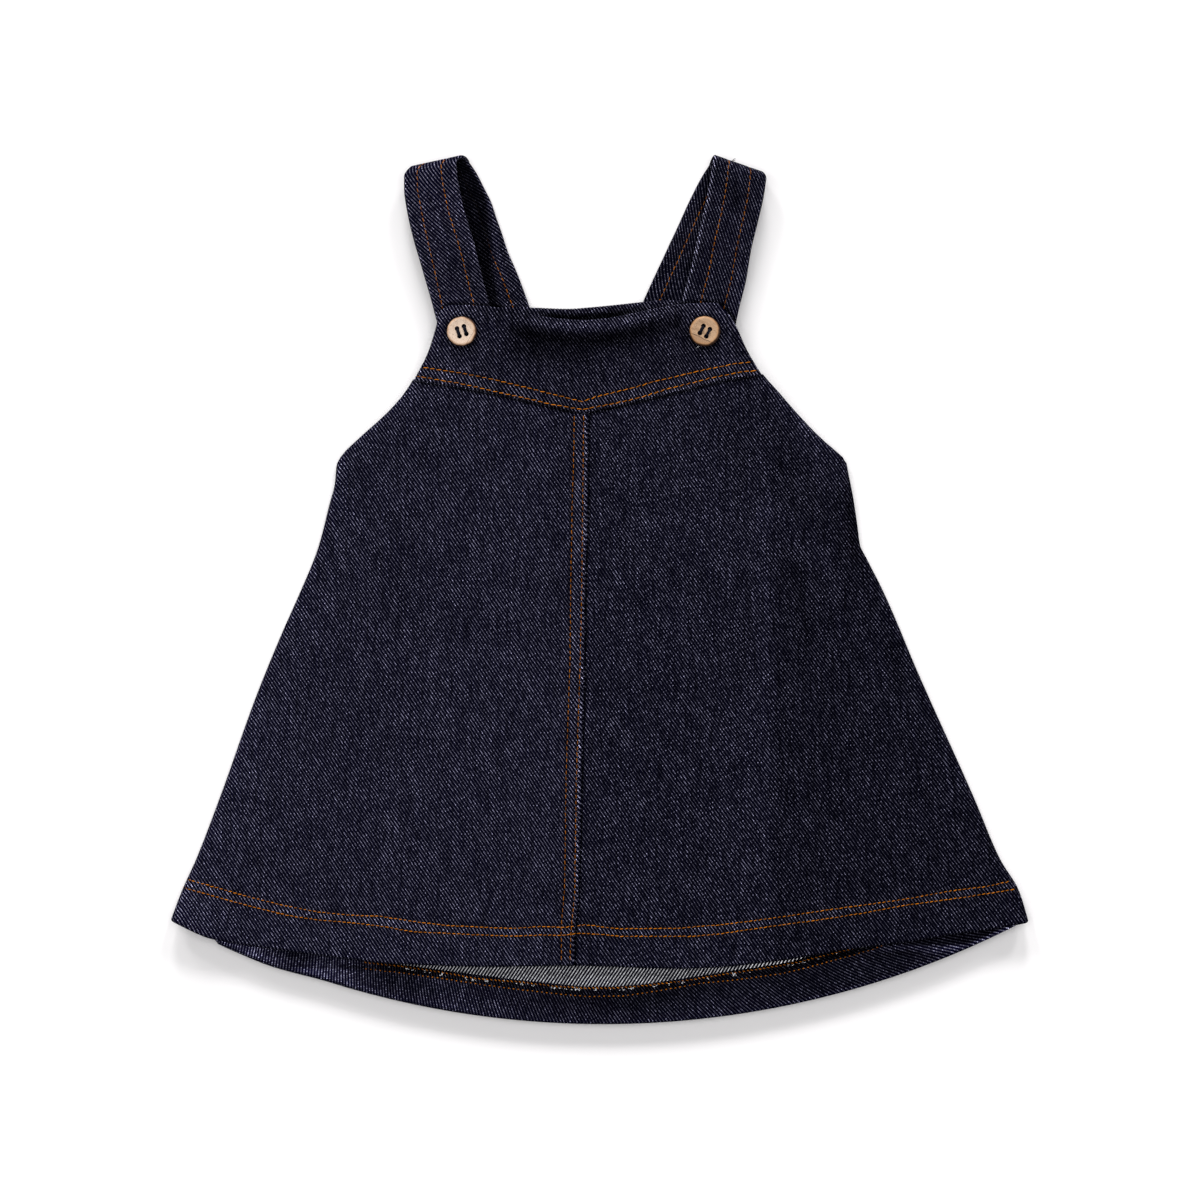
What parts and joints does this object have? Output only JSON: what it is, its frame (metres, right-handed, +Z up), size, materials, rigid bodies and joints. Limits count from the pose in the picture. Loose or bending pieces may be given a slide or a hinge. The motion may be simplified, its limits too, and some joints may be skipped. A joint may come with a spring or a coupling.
{
  "type": "denim pinafore dress",
  "caption": "Baby's A-line denim pinafore dress laid flat, with a V-seamed bib yoke, wide straps looped over to the bib and held by wooden buttons, and a dipped back hem.",
  "frame": {"origin": "on the table, under the middle of the dress's bounding box", "axes": "+X to the viewer's right, +Y from the hem towards the straps, +Z up from the table"},
  "size_m": [0.428, 0.434, 0.0119],
  "materials": {
    "denim": "dark indigo 3/1 twill, dry and matte",
    "wood": "pale turned wood, satin"
  },
  "bodies": {
    "root": {"front_left_panel": "denim", "front_right_panel": "denim", "front_yoke": "denim", "back_panel": "denim", "back_facing": "denim", "strap_left": "denim", "strap_right": "denim", "button_left": "wood", "button_right": "wood"}
  },
  "joints": []
}
